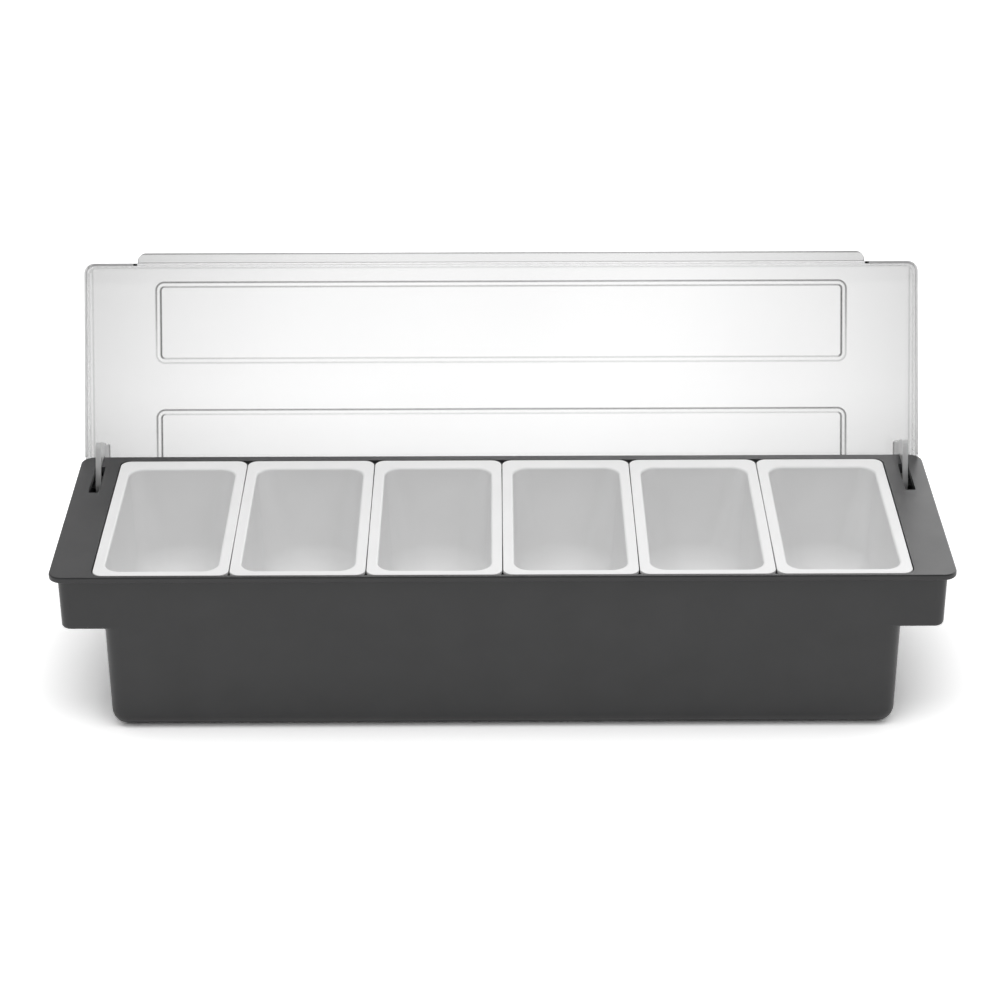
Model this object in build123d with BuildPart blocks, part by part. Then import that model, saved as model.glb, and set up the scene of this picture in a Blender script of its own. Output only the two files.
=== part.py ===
from build123d import *
import os
from math import acos, atan2, cos, degrees, hypot, radians, sin, tan

# Bar garnish tray, in millimetres. X runs along the row of inserts, -Y is the bar
# tender's side, the floor is z = 0 and x = y = 0 is the middle of the rim.

# Case, one moulding
end_deck = 23.8
rim_depth = 157.3
rim_height = 99.2
rim_thickness = 3.4
rim_corner = 8.0
rim_edge_radius = 0.8
rim_overhang = 4.3
wall = 2.5
wall_draft = 1.0
body_corner = 6.0
ear_bottom = 64.2
ear_edge_radius = 2.2
tub_corner = 9.5
tub_clearance = 0.35
tub_foot_radius = 10.0

# Inserts, six alike, and the ledge in the rim that carries their flanges
insert_count = 6
insert_pitch = 75.4
insert_gap = 0.3
front_strip = 3.0
rear_strip = 6.6
flange_thickness = 1.8
flange_side = 6.3
flange_front = 5.4
flange_rear = 10.9
flange_corner = 6.0
flange_bow = 0.15
flange_edge_radius = 0.4
seat_clearance = 0.4
insert_wall = 1.5
insert_depth = 62.0
insert_draft = 3.8
mouth_corner = 9.0
mouth_edge_radius = 1.2
well_floor_corner = 20.0
well_floor_radius = 17.0
well_clearance = 0.6

# Hinge: a pin moulded under each end deck, and a slot over it for the lid's lug
hinge_inset = 16.45
hinge_drop = 10.4
pin_diameter = 4.0
pin_clearance = 0.08
slot_inset = 12.25
slot_width = 6.0
slot_front = 49.2
slot_rear = 14.0
slot_corner = 1.0
cheek_thickness = 2.0
cheek_reach = 8.0
cheek_drop = 5.0
pin_embed = 1.0

# Lid: a shallow tray, clear, that stands open on its two lugs
lid_length_inset = 1.2
lid_front_inset = 9.05
lid_seat_gap = 0.3
lid_stop_gap = 0.3
lid_wall = 1.6
lid_front_depth = 16.0
lid_rear_depth = 23.0
lid_corner = 6.0
lid_edge_radius = 3.0
lid_rear_clearance = 0.5
lip_side = 29.9
lip_reach = 7.3
lip_corner = 5.0
panel_side = 40.8
panel_margin = 10.2
panel_depth = 48.55
panel_spacing = 28.35
panel_corner = 5.0
panel_slope = 2.7
panel_rise = 0.9
lug_thickness = 3.2
lug_offset = 1.0
lug_reach = 25.0
lug_corner = 4.0
lug_gap = 0.4
lug_eye_wall = 3.1
lug_mouth = 3.2
lug_foot = 2.0

# One overrun serves all cuts
overrun = 1.0

# Places that follow from the sizes
insert_row = insert_count * insert_pitch
half_length = insert_row / 2 + end_deck
half_depth = rim_depth / 2
deck_under = rim_height - rim_thickness
body_half_length = half_length - rim_overhang
body_half_depth = half_depth - rim_overhang
ledge = rim_height - flange_thickness
flange_y_front = -half_depth + front_strip
flange_y_rear = half_depth - rear_strip
flange_length = flange_y_rear - flange_y_front
flange_width = insert_pitch - insert_gap
mouth_width = flange_width - 2 * flange_side
mouth_length = flange_length - flange_front - flange_rear
mouth_y = (flange_y_front + flange_front + flange_y_rear - flange_rear) / 2
end_half = flange_width / 2 - flange_bow
flange_middle = (flange_y_front + flange_y_rear) / 2
well_drop = (insert_depth + flange_thickness) * tan(radians(insert_draft))
pocket_half_length = insert_row / 2 - flange_side + insert_wall + well_clearance
pocket_floor = ear_bottom + wall
end_well_reach = (
    (insert_row - insert_gap) / 2
    - flange_side
    + insert_wall
    - (rim_height - pocket_floor) * tan(radians(insert_draft))
)
tub_half_length = (
    end_well_reach + tub_clearance + wall + (deck_under - pocket_floor) * tan(radians(wall_draft))
)

axis_y = half_depth - hinge_inset
axis_z = rim_height - hinge_drop
slot_x = half_length - slot_inset
edge_p = hinge_drop + lid_seat_gap
corner_reach = hypot(hinge_inset, hinge_drop)
lean = degrees(acos((edge_p - lid_stop_gap) / corner_reach) - atan2(hinge_drop, hinge_inset))
lid_half_length = half_length - lid_length_inset
lip_half_length = lid_half_length - lip_side
front_r = axis_y + half_depth - lid_front_inset
rear_r = -hinge_inset
front_top_p = edge_p + lid_front_depth + lid_wall
rear_top_p = edge_p + lid_rear_depth + lid_wall
plate_tilt = degrees(atan2(rear_top_p - front_top_p, front_r - rear_r))

# Planes: DOWN looks down from the deck's underside, LID holds the lid's side view, with
# its x along the lid towards the front lip and its y through the lid, from the hinge axis
DOWN = Plane(origin=(0, 0, deck_under), x_dir=(1, 0, 0), z_dir=(0, 0, -1))
LID = Plane(
    origin=(0, axis_y, axis_z),
    x_dir=(0, sin(radians(lean)), cos(radians(lean))),
    z_dir=(-1, 0, 0),
)
PLATE = Plane(
    origin=LID.from_local_coords((front_r, front_top_p, 0)),
    x_dir=(1, 0, 0),
    z_dir=LID.x_dir * sin(radians(plate_tilt)) + LID.y_dir * cos(radians(plate_tilt)),
)


# The space inside the tub
with BuildPart() as tub_space:
    with BuildSketch(DOWN):
        RectangleRounded(
            2 * (tub_half_length - wall), 2 * (body_half_depth - wall), tub_corner - wall
        )
    extrude(amount=deck_under - wall, taper=wall_draft)
    fillet(tub_space.faces().sort_by(Axis.Z)[0].edges(), radius=tub_foot_radius - wall)

# Case
with BuildPart() as case:
    # Upper body with its ears, then the tub between them
    with BuildSketch(DOWN):
        RectangleRounded(2 * body_half_length, 2 * body_half_depth, body_corner)
    extrude(amount=deck_under - ear_bottom, taper=wall_draft)
    fillet(case.faces().sort_by(Axis.Z)[0].edges(), radius=ear_edge_radius)
    with BuildSketch(DOWN):
        RectangleRounded(2 * tub_half_length, 2 * body_half_depth, tub_corner)
    extrude(amount=deck_under, taper=wall_draft)
    fillet(case.faces().sort_by(Axis.Z)[0].edges(), radius=tub_foot_radius)

    # Rim and end decks
    with BuildSketch(Plane.XY.offset(deck_under)):
        RectangleRounded(2 * half_length, rim_depth, rim_corner)
    extrude(amount=rim_thickness)
    rim_faces = case.faces().filter_by(Axis.Z).sort_by(Axis.Z)
    rim_edges = rim_faces[-1].edges() + rim_faces[-2].outer_wire().edges()
    fillet(rim_edges, radius=rim_edge_radius)

    # Tub inside, and the wider pocket that the end inserts need
    add(tub_space.part, mode=Mode.SUBTRACT)
    with BuildSketch(DOWN):
        RectangleRounded(
            2 * pocket_half_length, 2 * (body_half_depth - wall), body_corner - wall
        )
    extrude(amount=deck_under - pocket_floor, taper=wall_draft, mode=Mode.SUBTRACT)

    # Ears, hollow and open below
    ear_inner = pocket_half_length + wall
    ear_outer = body_half_length - wall
    with BuildSketch(DOWN):
        with GridLocations(ear_inner + ear_outer, 0, 2, 1):
            RectangleRounded(
                ear_outer - ear_inner, 2 * (body_half_depth - wall), body_corner - wall
            )
    extrude(amount=deck_under - ear_bottom + overrun, taper=wall_draft, mode=Mode.SUBTRACT)

    # Opening for the wells, and the recess that the flanges lie in
    opening_front = -mouth_length / 2 + mouth_y - insert_wall - well_clearance
    opening_rear = mouth_length / 2 + mouth_y + insert_wall + well_clearance
    with BuildSketch(Plane.XY.offset(deck_under - overrun)):
        with Locations((0, (opening_front + opening_rear) / 2)):
            RectangleRounded(
                2 * pocket_half_length, opening_rear - opening_front, mouth_corner + insert_wall
            )
    extrude(amount=rim_thickness + 2 * overrun, mode=Mode.SUBTRACT)
    with BuildSketch(Plane.XY.offset(ledge)):
        with Locations((0, (flange_y_front + flange_y_rear) / 2)):
            RectangleRounded(
                insert_row + 2 * seat_clearance, flange_length + 2 * seat_clearance, flange_corner
            )
    extrude(amount=flange_thickness + overrun, mode=Mode.SUBTRACT)

    # Hinge slots through the end decks
    with BuildSketch(Plane.XY.offset(deck_under - overrun)):
        with Locations((0, half_depth - (slot_front + slot_rear) / 2)):
            with GridLocations(2 * slot_x, 0, 2, 1):
                RectangleRounded(slot_width, slot_front - slot_rear, slot_corner)
    extrude(amount=rim_thickness + 2 * overrun, mode=Mode.SUBTRACT)

    # Cheeks under the slots, and the pins between them and the end walls
    cheek_front = axis_y - cheek_reach
    cheek_rear = body_half_depth - wall / 2
    pin_start = slot_x - slot_width / 2 - cheek_thickness / 2
    pin_end = body_half_length - wall + pin_embed
    for side in (-1, 1):
        with BuildSketch(Plane.XY.offset(axis_z - cheek_drop)):
            with Locations((side * pin_start, (cheek_front + cheek_rear) / 2)):
                Rectangle(cheek_thickness, cheek_rear - cheek_front)
        extrude(amount=deck_under - axis_z + cheek_drop + rim_thickness / 2)
        with BuildSketch(Plane(origin=(side * pin_start, axis_y, axis_z), z_dir=(side, 0, 0))):
            Circle(pin_diameter / 2)
        extrude(amount=pin_end - pin_start)

case.part.label = "case"

# Lid, standing open
clear_radius = corner_reach + lid_rear_clearance
panel_half = lid_half_length - panel_side
panel_middles = [
    panel_margin + panel_depth / 2 + index * (panel_depth + panel_spacing) for index in range(2)
]
across = Axis(LID.origin, LID.y_dir)

with BuildPart() as lid:
    # Tray: its outside with round corners and edges, then hollowed from below
    with BuildSketch(LID):
        with BuildLine():
            Polyline(
                (front_r, edge_p),
                (front_r, front_top_p),
                (rear_r, rear_top_p),
                (rear_r, edge_p),
                close=True,
            )
        make_face()
    extrude(amount=lid_half_length, both=True)
    fillet(lid.edges().filter_by(across), radius=lid_corner)
    fillet(lid.faces().sort_by(across)[-1].edges(), radius=lid_edge_radius)
    offset(amount=-lid_wall, openings=lid.faces().sort_by(across)[0])

    # Relief that swings round the rim's rear edge, and the rear skirt kept off the wall
    with BuildSketch(LID):
        Circle(clear_radius)
    extrude(amount=half_length, both=True, mode=Mode.SUBTRACT)
    with BuildSketch(Plane.YZ):
        Rectangle(body_half_depth + lid_rear_clearance, deck_under, align=(Align.MIN, Align.MIN))
    extrude(amount=half_length, both=True, mode=Mode.SUBTRACT)

    # Finger lip, level with the plate
    with BuildSketch(PLATE.offset(-lid_wall)):
        with BuildLine():
            Polyline(
                (-lip_half_length, lid_edge_radius),
                (-lip_half_length, -lip_reach),
                (lip_half_length, -lip_reach),
                (lip_half_length, lid_edge_radius),
                close=True,
            )
        lip_face = make_face()
        fillet(lip_face.vertices().group_by(Axis.Y)[0], radius=lip_corner)
    extrude(amount=lid_wall)

    # Two raised panels with sloping borders, hollow inside
    for middle in panel_middles:
        for level, mode in ((0, Mode.ADD), (-lid_wall, Mode.SUBTRACT)):
            with BuildSketch(PLATE.offset(level)):
                with Locations((0, middle)):
                    RectangleRounded(2 * panel_half, panel_depth, panel_corner)
            with BuildSketch(PLATE.offset(level + panel_rise)):
                with Locations((0, middle)):
                    RectangleRounded(
                        2 * (panel_half - panel_slope),
                        panel_depth - 2 * panel_slope,
                        panel_corner - panel_slope,
                    )
            loft(mode=mode)

    # Lugs: each a web on the lid that reaches over the rear strip, with an arm down
    # through its slot and an open eye that clips on the pin
    eye_radius = pin_diameter / 2 + pin_clearance + lug_eye_wall
    slot_back = hinge_inset - slot_rear
    arm_back = slot_back * cos(radians(lean)) - hinge_drop * sin(radians(lean)) - lug_gap
    web_back = edge_p + lug_gap
    deck_line = [
        (hinge_drop + lug_gap + through * sin(radians(lean))) / cos(radians(lean))
        for through in (arm_back, web_back)
    ]
    plate_line = [
        front_top_p + (front_r - along) * tan(radians(plate_tilt)) - lid_wall / 2
        for along in (lug_reach, lug_foot)
    ]
    for side in (-1, 1):
        with BuildSketch(LID.offset(side * (slot_x + lug_offset))):
            with BuildLine():
                Polyline(
                    (0, -eye_radius),
                    (lug_reach, -eye_radius),
                    (lug_reach, plate_line[0]),
                    (lug_foot, plate_line[1]),
                    (deck_line[1], web_back),
                    (deck_line[0], arm_back),
                    (0, arm_back),
                    close=True,
                )
            lug_face = make_face()
            fillet(lug_face.vertices().group_by(Axis.X)[-1].sort_by(Axis.Y)[0], radius=lug_corner)
            Circle(eye_radius)
            Circle(pin_diameter / 2 + pin_clearance, mode=Mode.SUBTRACT)
            with Locations((-eye_radius / 2, 0)):
                Rectangle(eye_radius + overrun, lug_mouth, mode=Mode.SUBTRACT)
        extrude(amount=lug_thickness / 2, both=True)

lid.part.label = "lid"

# Inserts, numbered from the left
inserts = []
for index in range(insert_count):
    middle_x = (index - (insert_count - 1) / 2) * insert_pitch
    seat = Plane(origin=(middle_x, 0, ledge), x_dir=(1, 0, 0), z_dir=(0, 0, 1))

    # The space inside, drawn in towards a round bottom
    with BuildPart() as hollow:
        with BuildSketch(seat.offset(flange_thickness)):
            with Locations((0, mouth_y)):
                RectangleRounded(mouth_width, mouth_length, mouth_corner)
        with BuildSketch(seat.offset(-insert_depth)):
            with Locations((0, mouth_y)):
                RectangleRounded(
                    mouth_width - 2 * well_drop, mouth_length - 2 * well_drop, well_floor_corner
                )
        loft()
        fillet(hollow.faces().sort_by(Axis.Z)[0].edges(), radius=well_floor_radius)

    with BuildPart() as insert:
        # Flange, a little fuller at the middle of its long sides
        with BuildSketch(seat):
            with BuildLine():
                Line((-end_half, flange_y_front), (end_half, flange_y_front))
                ThreePointArc(
                    (end_half, flange_y_front),
                    (flange_width / 2, flange_middle),
                    (end_half, flange_y_rear),
                )
                Line((end_half, flange_y_rear), (-end_half, flange_y_rear))
                ThreePointArc(
                    (-end_half, flange_y_rear),
                    (-flange_width / 2, flange_middle),
                    (-end_half, flange_y_front),
                )
            outline = make_face()
            fillet(outline.vertices(), radius=flange_corner)
        extrude(amount=flange_thickness)
        fillet(insert.faces().sort_by(Axis.Z)[-1].edges(), radius=flange_edge_radius)

        # Well outside, a wall away from the space inside
        with BuildSketch(seat):
            with Locations((0, mouth_y)):
                RectangleRounded(
                    mouth_width + 2 * insert_wall,
                    mouth_length + 2 * insert_wall,
                    mouth_corner + insert_wall,
                )
        with BuildSketch(seat.offset(-insert_depth - insert_wall)):
            with Locations((0, mouth_y)):
                RectangleRounded(
                    mouth_width + 2 * (insert_wall - well_drop),
                    mouth_length + 2 * (insert_wall - well_drop),
                    well_floor_corner + insert_wall,
                )
        loft()
        fillet(insert.faces().sort_by(Axis.Z)[0].edges(), radius=well_floor_radius + insert_wall)
        add(hollow.part, mode=Mode.SUBTRACT)
        mouth = insert.faces().filter_by(Axis.Z).sort_by(Axis.Z)[-1].inner_wires()[0]
        fillet(mouth.edges(), radius=mouth_edge_radius)
    insert.part.label = f"insert_{index + 1}"
    inserts.append(insert.part)

os.makedirs("parts", exist_ok=True)
export_step(case.part, "parts/case.step")
export_step(lid.part, "parts/lid.step")
for piece in inserts:
    export_step(piece, f"parts/{piece.label}.step")
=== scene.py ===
import logging
from dataclasses import dataclass
from math import cos, radians, sin

import bmesh
import bpy
from mathutils import Matrix, Vector

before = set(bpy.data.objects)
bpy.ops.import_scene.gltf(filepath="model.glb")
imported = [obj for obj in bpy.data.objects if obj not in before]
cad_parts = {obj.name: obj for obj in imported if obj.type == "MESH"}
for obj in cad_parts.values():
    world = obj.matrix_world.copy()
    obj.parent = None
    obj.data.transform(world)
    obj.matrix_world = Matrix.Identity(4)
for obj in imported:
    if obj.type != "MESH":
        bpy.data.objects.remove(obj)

LOG = logging.getLogger("garnish_tray")
MM = 0.001


class Shader:
    """A material's node tree with a Principled surface, built up node by node."""

    def __init__(self, name: str) -> None:
        """Start an empty material.

        Args:
            name: Name of the material.
        """
        self.material = bpy.data.materials.new(name)
        self.material.use_nodes = True
        self.tree = self.material.node_tree
        self.tree.nodes.clear()
        self.output = self.tree.nodes.new("ShaderNodeOutputMaterial")
        self.surface = self.tree.nodes.new("ShaderNodeBsdfPrincipled")
        self.tree.links.new(self.surface.outputs["BSDF"], self.output.inputs["Surface"])
        self.place = self.tree.nodes.new("ShaderNodeTexCoord").outputs["Object"]

    def noise(self, scale: float, detail: float) -> bpy.types.NodeSocket:
        """Add a noise pattern on object coordinates.

        Args:
            scale: Waves per metre.
            detail: Octaves of finer noise.

        Returns:
            The pattern's grey value.
        """
        node = self.tree.nodes.new("ShaderNodeTexNoise")
        node.inputs["Scale"].default_value = scale
        node.inputs["Detail"].default_value = detail
        self.tree.links.new(self.place, node.inputs["Vector"])
        return node.outputs["Fac"]

    def math(self, operation: str, *values: bpy.types.NodeSocket | float) -> bpy.types.NodeSocket:
        """Add a sum on numbers.

        Args:
            operation: Name of the Math node's operation.
            values: Its inputs, each a socket or a number.

        Returns:
            The result.
        """
        node = self.tree.nodes.new("ShaderNodeMath")
        node.operation = operation
        for socket, value in zip(node.inputs, values):
            if isinstance(value, bpy.types.NodeSocket):
                self.tree.links.new(value, socket)
            else:
                socket.default_value = value
        return node.outputs["Value"]

    def along(self, direction: Vector, origin: Vector) -> bpy.types.NodeSocket:
        """Measure how far a surface point lies along a direction.

        Args:
            direction: Unit vector in the tray's frame.
            origin: Point where the measure is zero.

        Returns:
            The distance in metres.
        """
        node = self.tree.nodes.new("ShaderNodeVectorMath")
        node.operation = "DOT_PRODUCT"
        node.inputs[1].default_value = direction
        self.tree.links.new(self.place, node.inputs[0])
        return self.math("SUBTRACT", node.outputs["Value"], origin.dot(direction))

    def ramp(
        self,
        value: bpy.types.NodeSocket,
        start: float,
        end: float,
        low: float = 0.0,
        high: float = 1.0,
    ) -> bpy.types.NodeSocket:
        """Ease a number from one value to another.

        Args:
            value: Number that drives the change.
            start: Where the change starts.
            end: Where it ends.
            low: Result at the start.
            high: Result at the end.

        Returns:
            The eased value.
        """
        node = self.tree.nodes.new("ShaderNodeMapRange")
        node.interpolation_type = "SMOOTHSTEP"
        node.inputs["From Min"].default_value = start
        node.inputs["From Max"].default_value = end
        node.inputs["To Min"].default_value = low
        node.inputs["To Max"].default_value = high
        self.tree.links.new(value, node.inputs["Value"])
        return node.outputs["Result"]

    def line(
        self, value: bpy.types.NodeSocket, at: float, half_width: float, depth: float
    ) -> bpy.types.NodeSocket:
        """Make a soft line where a number has one value.

        Args:
            value: Number that runs across the line.
            at: Its value in the middle of the line.
            half_width: Distance over which the line fades.
            depth: Result in the middle.

        Returns:
            The line's strength.
        """
        away = self.math("ABSOLUTE", self.math("SUBTRACT", value, at))
        return self.ramp(away, 0.0, half_width, depth, 0.0)

    def outline(
        self,
        across: bpy.types.NodeSocket,
        down: bpy.types.NodeSocket,
        half: tuple[float, float],
        corner: float,
    ) -> bpy.types.NodeSocket:
        """Measure the distance to a rectangle with round corners.

        Args:
            across: Distance from its middle, sideways.
            down: Distance from its middle, the other way.
            half: Half of its width and height.
            corner: Radius of its corners.

        Returns:
            The distance, below zero inside.
        """
        parts = [
            self.math("SUBTRACT", self.math("ABSOLUTE", value), size - corner)
            for value, size in zip((across, down), half)
        ]
        past = [self.math("POWER", self.math("MAXIMUM", part, 0.0), 2.0) for part in parts]
        outside = self.math("SQRT", self.math("ADD", *past))
        inside = self.math("MINIMUM", self.math("MAXIMUM", *parts), 0.0)
        return self.math("SUBTRACT", self.math("ADD", outside, inside), corner)

    def spread(self, value: bpy.types.NodeSocket, low: float, high: float) -> bpy.types.NodeSocket:
        """Map the middle of a noise pattern to a range of numbers.

        Args:
            value: Grey value to map.
            low: Number where the pattern is 0.3.
            high: Number where the pattern is 0.7.

        Returns:
            The mapped value.
        """
        node = self.tree.nodes.new("ShaderNodeMapRange")
        node.inputs["From Min"].default_value = 0.3
        node.inputs["From Max"].default_value = 0.7
        node.inputs["To Min"].default_value = low
        node.inputs["To Max"].default_value = high
        self.tree.links.new(value, node.inputs["Value"])
        return node.outputs["Result"]

    def blend(
        self, factor: bpy.types.NodeSocket, first: tuple[float, ...], second: tuple[float, ...]
    ) -> bpy.types.NodeSocket:
        """Mix two colours.

        Args:
            factor: Share of the second colour.
            first: Linear RGB where the factor is 0.
            second: Linear RGB where the factor is 1.

        Returns:
            The mixed colour.
        """
        node = self.tree.nodes.new("ShaderNodeMix")
        node.data_type = "RGBA"
        node.inputs[6].default_value = (*first, 1.0)
        node.inputs[7].default_value = (*second, 1.0)
        self.tree.links.new(factor, node.inputs[0])
        return node.outputs[2]

    def relief(self, height: bpy.types.NodeSocket, depth: float, strength: float) -> None:
        """Bump the surface.

        Args:
            height: Height pattern, 0 to 1.
            depth: Height of the pattern in metres.
            strength: Share of the bump that shows.
        """
        node = self.tree.nodes.new("ShaderNodeBump")
        node.inputs["Distance"].default_value = depth
        node.inputs["Strength"].default_value = strength
        self.tree.links.new(height, node.inputs["Height"])
        self.tree.links.new(node.outputs["Normal"], self.surface.inputs["Normal"])


@dataclass(frozen=True)
class CaseFinish:
    """Dark moulded plastic with a fine satin grain."""

    dark: tuple[float, float, float] = (0.032, 0.032, 0.033)
    light: tuple[float, float, float] = (0.038, 0.038, 0.039)
    roughness: float = 0.32
    roughness_spread: float = 0.03
    grain_scale: float = 1800.0
    grain_depth: float = 0.04 * MM

    def material(self) -> bpy.types.Material:
        """Make the finish.

        Returns:
            The finish as a material.
        """
        shader = Shader("case_satin_plastic")
        cloud = shader.noise(38.0, 3.0)
        tone = shader.blend(shader.spread(cloud, 0.0, 1.0), self.dark, self.light)
        shader.tree.links.new(tone, shader.surface.inputs["Base Color"])
        gloss = shader.spread(
            shader.noise(60.0, 4.0),
            self.roughness - self.roughness_spread,
            self.roughness + self.roughness_spread,
        )
        shader.tree.links.new(gloss, shader.surface.inputs["Roughness"])
        shader.relief(shader.noise(self.grain_scale, 2.0), self.grain_depth, 0.5)
        return shader.material


@dataclass(frozen=True)
class InsertFinish:
    """White moulded plastic, half gloss."""

    dark: tuple[float, float, float] = (0.805, 0.805, 0.805)
    light: tuple[float, float, float] = (0.845, 0.845, 0.845)
    roughness: float = 0.32
    roughness_spread: float = 0.04
    grain_scale: float = 900.0
    grain_depth: float = 0.02 * MM

    def material(self) -> bpy.types.Material:
        """Make the finish.

        Returns:
            The finish as a material.
        """
        shader = Shader("insert_white_plastic")
        cloud = shader.noise(22.0, 2.0)
        tone = shader.blend(shader.spread(cloud, 0.0, 1.0), self.dark, self.light)
        shader.tree.links.new(tone, shader.surface.inputs["Base Color"])
        gloss = shader.spread(
            shader.noise(45.0, 3.0),
            self.roughness - self.roughness_spread,
            self.roughness + self.roughness_spread,
        )
        shader.tree.links.new(gloss, shader.surface.inputs["Roughness"])
        shader.relief(shader.noise(self.grain_scale, 2.0), self.grain_depth, 0.4)
        return shader.material


@dataclass(frozen=True)
class PanelPaintedShade:
    """How much painted shade darkens the two turns of a raised panel's border."""

    middle: float
    outer_top: float
    outer_foot: float
    inner_top: float
    inner_foot: float
    inner_side: float


@dataclass(frozen=True)
class LidFinish:
    """Clear moulded plastic with painted shade towards its ends and along the turns of its form,
    and a painted highlight on its free edge past the lip.

    The sizes are those of the open lid in the case's frame.
    """

    clear: float = 0.79
    clear_spread: float = 0.012
    darkest: float = 0.13
    # Painted shade: how much the base colour darkens towards the plate's ends, foot and top.
    end_painted_shade: float = 0.20
    foot_painted_shade: float = 0.10
    foot_end_painted_shade: float = 0.04
    top_painted_shade: float = 0.025
    lip_painted_shade: float = 0.06
    roughness: float = 0.05
    roughness_spread: float = 0.02
    ior: float = 1.25
    coat: float = 0.6
    coat_roughness: float = 0.05
    axis_y: float = 62.2 * MM
    axis_z: float = 88.8 * MM
    lean: float = radians(25.396)
    tilt: float = radians(2.703)
    front_reach: float = 131.8 * MM
    front_depth: float = 28.3 * MM
    edge_depth: float = 10.7 * MM
    half_length: float = 248.8 * MM
    lip_half: float = 218.9 * MM
    lip_reach: float = 7.3 * MM
    panel_half: tuple[float, float] = (208.0 * MM, 24.275 * MM)
    panel_border: float = 2.7 * MM
    panel_corner: float = 5.0 * MM
    panels: tuple[PanelPaintedShade, ...] = (
        PanelPaintedShade(34.475 * MM, 0.50, 0.20, 0.40, 0.25, 0.72),
        PanelPaintedShade(111.375 * MM, 0.50, 0.20, 0.18, 0.25, 0.62),
    )
    line_width: float = 0.9 * MM
    haze_clearness: float = 0.42
    haze_roughness: float = 0.3
    wave_depth: float = 0.1 * MM
    lug_middle: float = 238.75 * MM
    lug_half: float = 1.8 * MM
    lug_reach: float = 25.0 * MM

    def material(self) -> bpy.types.Material:
        """Make the finish.

        Returns:
            The finish as a material.
        """
        shader = Shader("lid_clear_plastic")
        surface = shader.surface
        surface.inputs["IOR"].default_value = self.ior
        surface.inputs["Coat Weight"].default_value = self.coat
        surface.inputs["Coat Roughness"].default_value = self.coat_roughness
        rise = Vector((0.0, sin(self.lean), cos(self.lean)))
        out = Vector((0.0, cos(self.lean), -sin(self.lean)))
        hinge = Vector((0.0, self.axis_y, self.axis_z))
        front = hinge + rise * self.front_reach + out * self.front_depth
        slope = self.lean - self.tilt
        down = Vector((0.0, -sin(slope), -cos(slope)))
        side = shader.math("ABSOLUTE", shader.along(Vector((1.0, 0.0, 0.0)), Vector()))
        depth = shader.along(down, front)
        through = shader.along(out, hinge)
        edge = shader.ramp(through, self.edge_depth, self.edge_depth + MM, 1.0, 0.0)
        tone = shader.spread(
            shader.noise(9.0, 1.0), self.clear - self.clear_spread, self.clear + self.clear_spread
        )
        # Take the painted shade and highlight off the base colour.
        for loss in (
            *self.broad_painted_shade(shader, side, depth),
            *self.panel_painted_shade_lines(shader, side, depth),
            *self.edge_painted_shade_and_highlight(shader, side, depth, edge),
        ):
            tone = shader.math("SUBTRACT", tone, loss)
        tone = shader.math("MAXIMUM", tone, self.darkest)
        shader.tree.links.new(tone, surface.inputs["Base Color"])
        off_middle = shader.math("ABSOLUTE", shader.math("SUBTRACT", side, self.lug_middle))
        across = shader.ramp(off_middle, self.lug_half, self.lug_half + MM / 2, 1.0, 0.0)
        reach = shader.along(rise, hinge)
        below = shader.ramp(reach, self.lug_reach - 2 * MM, self.lug_reach, 1.0, 0.0)
        lug = shader.math("MULTIPLY", across, below)
        gloss = shader.spread(
            shader.noise(30.0, 3.0),
            self.roughness - self.roughness_spread,
            self.roughness + self.roughness_spread,
        )
        past_lip = shader.ramp(side, self.lip_half, self.lip_half + MM)
        haze = shader.math("MAXIMUM", lug, shader.math("MULTIPLY", edge, past_lip))
        rougher = shader.math("MULTIPLY", haze, self.haze_roughness)
        gloss = shader.math("ADD", gloss, rougher)
        shader.tree.links.new(gloss, surface.inputs["Roughness"])
        clearness = shader.ramp(haze, 0.0, 1.0, 1.0, self.haze_clearness)
        shader.tree.links.new(clearness, surface.inputs["Transmission Weight"])
        shader.relief(shader.noise(14.0, 1.0), self.wave_depth, 0.2)
        return shader.material

    def broad_painted_shade(
        self, shader: Shader, side: bpy.types.NodeSocket, depth: bpy.types.NodeSocket
    ) -> list[bpy.types.NodeSocket]:
        """Paint shade on the plate towards its ends, its foot and its top.

        Args:
            shader: Material being made.
            side: Distance from the lid's middle, either way.
            depth: Distance down the plate from its front edge.

        Returns:
            The painted shade, as losses of tone.
        """
        share = shader.math("DIVIDE", side, self.half_length)
        end = shader.math("POWER", share, 3.0)
        foot = shader.ramp(depth, 70 * MM, 140 * MM)
        foot_depth = shader.math(
            "ADD", shader.math("MULTIPLY", end, self.foot_end_painted_shade), self.foot_painted_shade
        )
        return [
            shader.math("MULTIPLY", end, self.end_painted_shade),
            shader.math("MULTIPLY", foot, foot_depth),
            shader.ramp(depth, 8 * MM, 14 * MM, self.top_painted_shade, 0.0),
        ]

    def panel_painted_shade_lines(
        self, shader: Shader, side: bpy.types.NodeSocket, depth: bpy.types.NodeSocket
    ) -> list[bpy.types.NodeSocket]:
        """Paint shade along both turns of each raised panel's border.

        Args:
            shader: Material being made.
            side: Distance from the lid's middle, either way.
            depth: Distance down the plate from its front edge.

        Returns:
            The painted shade, as losses of tone.
        """
        lines = []
        half_width, half_height = self.panel_half
        at_end = shader.ramp(
            side, half_width - 2 * self.panel_border, half_width - self.panel_border
        )
        # Each panel's border gets two lines of painted shade, the inner one darker towards the
        # plate's ends.
        for panel in self.panels:
            down = shader.math("SUBTRACT", depth, panel.middle)
            distance = shader.outline(side, down, self.panel_half, self.panel_corner)
            outer = shader.ramp(
                down, -half_height, half_height, panel.outer_top, panel.outer_foot
            )
            inner = shader.ramp(
                down, -half_height, half_height, panel.inner_top, panel.inner_foot
            )
            to_side = shader.math("SUBTRACT", panel.inner_side, inner)
            inner = shader.math("ADD", inner, shader.math("MULTIPLY", to_side, at_end))
            for place, strength in ((0.0, outer), (-self.panel_border, inner)):
                line = shader.line(distance, place, self.line_width, 1.0)
                lines.append(shader.math("MULTIPLY", line, strength))
        return lines

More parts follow.
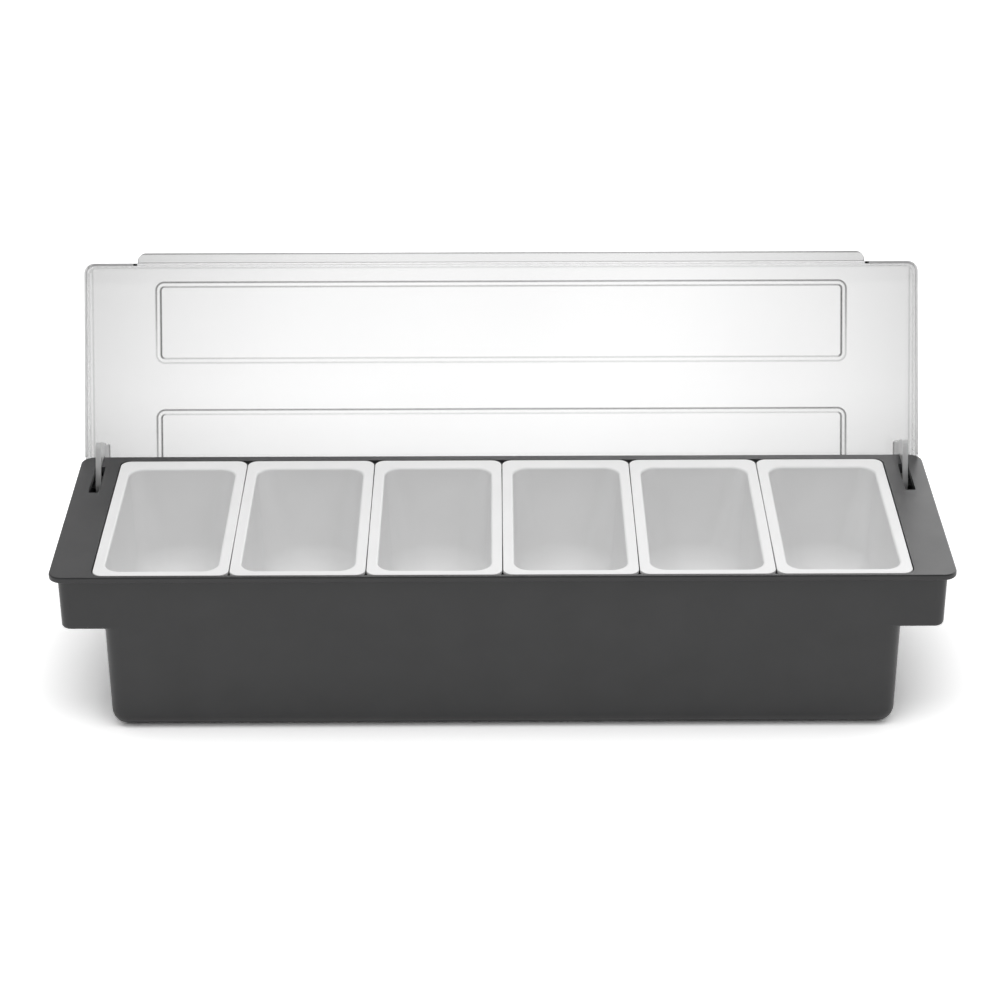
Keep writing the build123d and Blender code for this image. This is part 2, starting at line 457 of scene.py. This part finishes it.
    def edge_painted_shade_and_highlight(
        self,
        shader: Shader,
        side: bpy.types.NodeSocket,
        depth: bpy.types.NodeSocket,
        edge: bpy.types.NodeSocket,
    ) -> list[bpy.types.NodeSocket]:
        """Paint shade on the lip and its edges, the plate's turn into the skirt and the free edge,
        with a painted highlight on the free edge past the lip.

        Args:
            shader: Material being made.
            side: Distance from the lid's middle, either way.
            depth: Distance down the plate from its front edge.
            edge: Share of the skirt's free edge, 1 at the edge itself.

        Returns:
            The painted shade as losses of tone, the painted highlight as a negative loss.
        """
        on_lip = shader.ramp(side, self.lip_half, self.lip_half + MM, 1.0, 0.0)
        off_lip = shader.math("SUBTRACT", 1.0, on_lip)
        above = shader.ramp(depth, -MM, 0.0, 1.0, 0.0)
        # Painted shade on the lip's ends, its root and its body.
        lip_end_shade = shader.line(side, self.lip_half, 1.0 * MM, 0.2)
        lip_root_shade = shader.line(depth, -1.3 * MM, self.line_width, 0.28)
        lip_body_shade = shader.ramp(depth, -1.5 * MM, -0.5 * MM, self.lip_painted_shade, 0.0)
        # Painted shade where the plate turns into the skirt.
        turn = shader.ramp(depth, -0.5 * MM, 3.5 * MM, 0.14, 0.0)
        # Painted shade on the free edge along the lip and a painted highlight on it past the lip.
        free_edge_shade_and_highlight = shader.ramp(side, self.lip_half, self.lip_half + MM, 0.05, -0.15)
        return [
            shader.line(depth, -self.lip_reach, 1.4 * MM, 0.42),
            shader.math("MULTIPLY", shader.math("ADD", lip_root_shade, lip_body_shade), on_lip),
            shader.math("MULTIPLY", turn, off_lip),
            shader.math("MULTIPLY", lip_end_shade, above),
            shader.line(side, self.half_length - 2.6 * MM, self.line_width, 0.14),
            shader.math("MULTIPLY", edge, free_edge_shade_and_highlight),
        ]


@dataclass
class Studio:
    """Pale floor, white surroundings, soft lamps and the camera."""

    floor_side: float = 12.0
    floor_tone: float = 0.80
    floor_shown: float = 1.62
    floor_mirrored: float = 1.15
    floor_through: float = 1.46
    daylight_low: float = 0.10
    daylight_high: float = 0.68
    backdrop: float = 1.0
    mirrored_left: float = 0.50
    mirrored_right: float = 2.10
    mirrored_front: float = 0.25
    mirrored_above: float = 0.05
    lamp_height: float = 1.6
    lamp_side: float = 1.4
    lamp_power: float = 12.0
    camera_place: tuple[float, float, float] = (-3.726, -1481.775, 826.976)
    camera_pitch: float = 25.889
    camera_yaw: float = 0.095
    camera_roll: float = -0.163
    focal_px: float = 2883.1
    picture_px: float = 1000.0

    def build(self) -> None:
        """Make everything round the tray."""
        self.make_world()
        self.make_floor()
        self.make_lamps()
        self.make_camera()
        bpy.context.scene.view_settings.view_transform = "Standard"

    def pick(
        self,
        tree: bpy.types.NodeTree,
        share: bpy.types.NodeSocket,
        first: bpy.types.NodeSocket | float,
        second: bpy.types.NodeSocket | float,
    ) -> bpy.types.NodeSocket:
        """Add a choice between two numbers.

        Args:
            tree: Node tree that gets it.
            share: Share of the second number.
            first: Number where the share is 0.
            second: Number where the share is 1.

        Returns:
            The mixed number.
        """
        node = tree.nodes.new("ShaderNodeMix")
        tree.links.new(share, node.inputs["Factor"])
        for name, value in (("A", first), ("B", second)):
            if isinstance(value, bpy.types.NodeSocket):
                tree.links.new(value, node.inputs[name])
            else:
                node.inputs[name].default_value = value
        return node.outputs["Result"]

    def combine(
        self,
        tree: bpy.types.NodeTree,
        operation: str,
        first: bpy.types.NodeSocket,
        second: bpy.types.NodeSocket | float,
    ) -> bpy.types.NodeSocket:
        """Add a sum on two numbers.

        Args:
            tree: Node tree that gets it.
            operation: Name of the Math node's operation.
            first: First number.
            second: Second number.

        Returns:
            The result.
        """
        node = tree.nodes.new("ShaderNodeMath")
        node.operation = operation
        tree.links.new(first, node.inputs[0])
        if isinstance(second, bpy.types.NodeSocket):
            tree.links.new(second, node.inputs[1])
        else:
            node.inputs[1].default_value = second
        return node.outputs["Value"]

    def ease(
        self,
        tree: bpy.types.NodeTree,
        value: bpy.types.NodeSocket,
        span: tuple[float, float],
        results: tuple[float, float],
    ) -> bpy.types.NodeSocket:
        """Ease a number from one value to another.

        Args:
            tree: Node tree that gets it.
            value: Number that drives the change.
            span: Where the change starts and ends.
            results: Results there.

        Returns:
            The eased value.
        """
        node = tree.nodes.new("ShaderNodeMapRange")
        node.interpolation_type = "SMOOTHSTEP"
        for name, number in zip(("From Min", "From Max", "To Min", "To Max"), span + results):
            node.inputs[name].default_value = number
        tree.links.new(value, node.inputs["Value"])
        return node.outputs["Result"]

    def make_world(self) -> None:
        """Light the tray from all round, and show a white backdrop.

        What the plastic mirrors is brighter behind the tray's right half. The case mirrors
        dark surroundings in front and overhead.
        """
        world = bpy.data.worlds.new("studio")
        bpy.context.scene.world = world
        world.use_nodes = True
        tree = world.node_tree
        tree.nodes.clear()
        output = tree.nodes.new("ShaderNodeOutputWorld")
        path = tree.nodes.new("ShaderNodeLightPath")
        part = tree.nodes.new("ShaderNodeSeparateXYZ")
        direction = tree.nodes.new("ShaderNodeTexCoord").outputs["Generated"]
        tree.links.new(direction, part.inputs["Vector"])
        sideways = self.ease(
            tree, part.outputs["X"], (-0.22, 0.16), (self.mirrored_left, self.mirrored_right)
        )
        behind = self.ease(tree, part.outputs["Y"], (-0.1, 0.2), (0.0, 1.0))
        overhead = self.ease(tree, part.outputs["Z"], (0.62, 0.90), (0.0, 1.0))
        direct = self.pick(tree, behind, self.mirrored_front, sideways)
        direct = self.pick(tree, overhead, direct, self.mirrored_above)
        mirrored = self.pick(tree, path.outputs["Is Transmission Ray"], direct, sideways)
        seen = self.combine(
            tree, "MAXIMUM", path.outputs["Is Camera Ray"], path.outputs["Is Transmission Ray"]
        )
        bounced = self.combine(tree, "GREATER_THAN", path.outputs["Glossy Depth"], 0.5)
        mirror = self.combine(tree, "MULTIPLY", path.outputs["Is Glossy Ray"], bounced)
        daylight = self.ease(
            tree, part.outputs["Z"], (0.0, 0.6), (self.daylight_low, self.daylight_high)
        )
        strength = self.pick(tree, seen, daylight, self.backdrop)
        strength = self.pick(tree, mirror, strength, mirrored)
        light = tree.nodes.new("ShaderNodeBackground")
        light.inputs["Color"].default_value = (1.0, 1.0, 1.0, 1.0)
        tree.links.new(strength, light.inputs["Strength"])
        tree.links.new(light.outputs["Background"], output.inputs["Surface"])

    def make_floor(self) -> None:
        """Lay the floor, which is shown paler than it lights, so that only the shadow stays."""
        grid = bmesh.new()
        bmesh.ops.create_grid(grid, x_segments=1, y_segments=1, size=self.floor_side / 2)
        mesh = bpy.data.meshes.new("floor")
        grid.to_mesh(mesh)
        grid.free()
        floor = bpy.data.objects.new("floor", mesh)
        bpy.context.scene.collection.objects.link(floor)
        shader = Shader("floor_pale")
        tree = shader.tree
        tree.nodes.remove(shader.surface)
        matt = tree.nodes.new("ShaderNodeBsdfDiffuse")
        path = tree.nodes.new("ShaderNodeLightPath")
        through = self.pick(
            tree, path.outputs["Is Glossy Ray"], self.floor_tone, self.floor_mirrored
        )
        through = self.pick(
            tree, path.outputs["Is Transmission Ray"], through, self.floor_through
        )
        tone = self.pick(tree, path.outputs["Is Camera Ray"], through, self.floor_shown)
        tree.links.new(tone, matt.inputs["Color"])
        tree.links.new(matt.outputs["BSDF"], shader.output.inputs["Surface"])
        mesh.materials.append(shader.material)

    def make_lamps(self) -> None:
        """Hang one broad soft lamp over the tray."""
        data = bpy.data.lights.new("soft_lamp", "AREA")
        data.shape = "SQUARE"
        data.size = self.lamp_side
        data.energy = self.lamp_power
        lamp = bpy.data.objects.new("soft_lamp", data)
        lamp.location = (0.0, -0.3, self.lamp_height)
        lamp.rotation_euler = (radians(-10.0), 0.0, 0.0)
        lamp.visible_glossy = False
        lamp.visible_transmission = False
        bpy.context.scene.collection.objects.link(lamp)

    def make_camera(self) -> None:
        """Place the camera where the photograph was taken from."""
        pitch = radians(self.camera_pitch)
        yaw = radians(self.camera_yaw)
        roll = radians(self.camera_roll)
        ahead = Vector((sin(yaw) * cos(pitch), cos(yaw) * cos(pitch), -sin(pitch)))
        right = ahead.cross(Vector((0.0, 0.0, 1.0))).normalized()
        up = right.cross(ahead)
        turned_right = right * cos(roll) + up * sin(roll)
        turned_up = up * cos(roll) - right * sin(roll)
        data = bpy.data.cameras.new("camera")
        data.sensor_width = 36.0
        data.lens = self.focal_px / self.picture_px * data.sensor_width
        data.clip_start = 0.05
        data.clip_end = 50.0
        camera = bpy.data.objects.new("camera", data)
        turn = Matrix((turned_right, turned_up, -ahead)).transposed().to_4x4()
        camera.matrix_world = Matrix.Translation(Vector(self.camera_place) * MM) @ turn
        bpy.context.scene.collection.objects.link(camera)
        bpy.context.scene.camera = camera


def dress(node: str, material: bpy.types.Material) -> None:
    """Give a CAD node its finish.

    Args:
        node: Name of the node.
        material: Finish for all its faces.
    """
    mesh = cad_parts[node].data
    mesh.materials.clear()
    mesh.materials.append(material)
    LOG.info("%s: %s", node, material.name)


def main() -> None:
    """Dress the tray and set up its surroundings."""
    logging.basicConfig(level=logging.INFO, format="%(name)s: %(message)s")
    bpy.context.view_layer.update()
    dress("case", CaseFinish().material())
    dress("lid", LidFinish().material())
    white = InsertFinish().material()
    for number in range(1, 7):
        dress(f"insert_{number}", white)
    Studio().build()


if __name__ == "__main__":
    main()
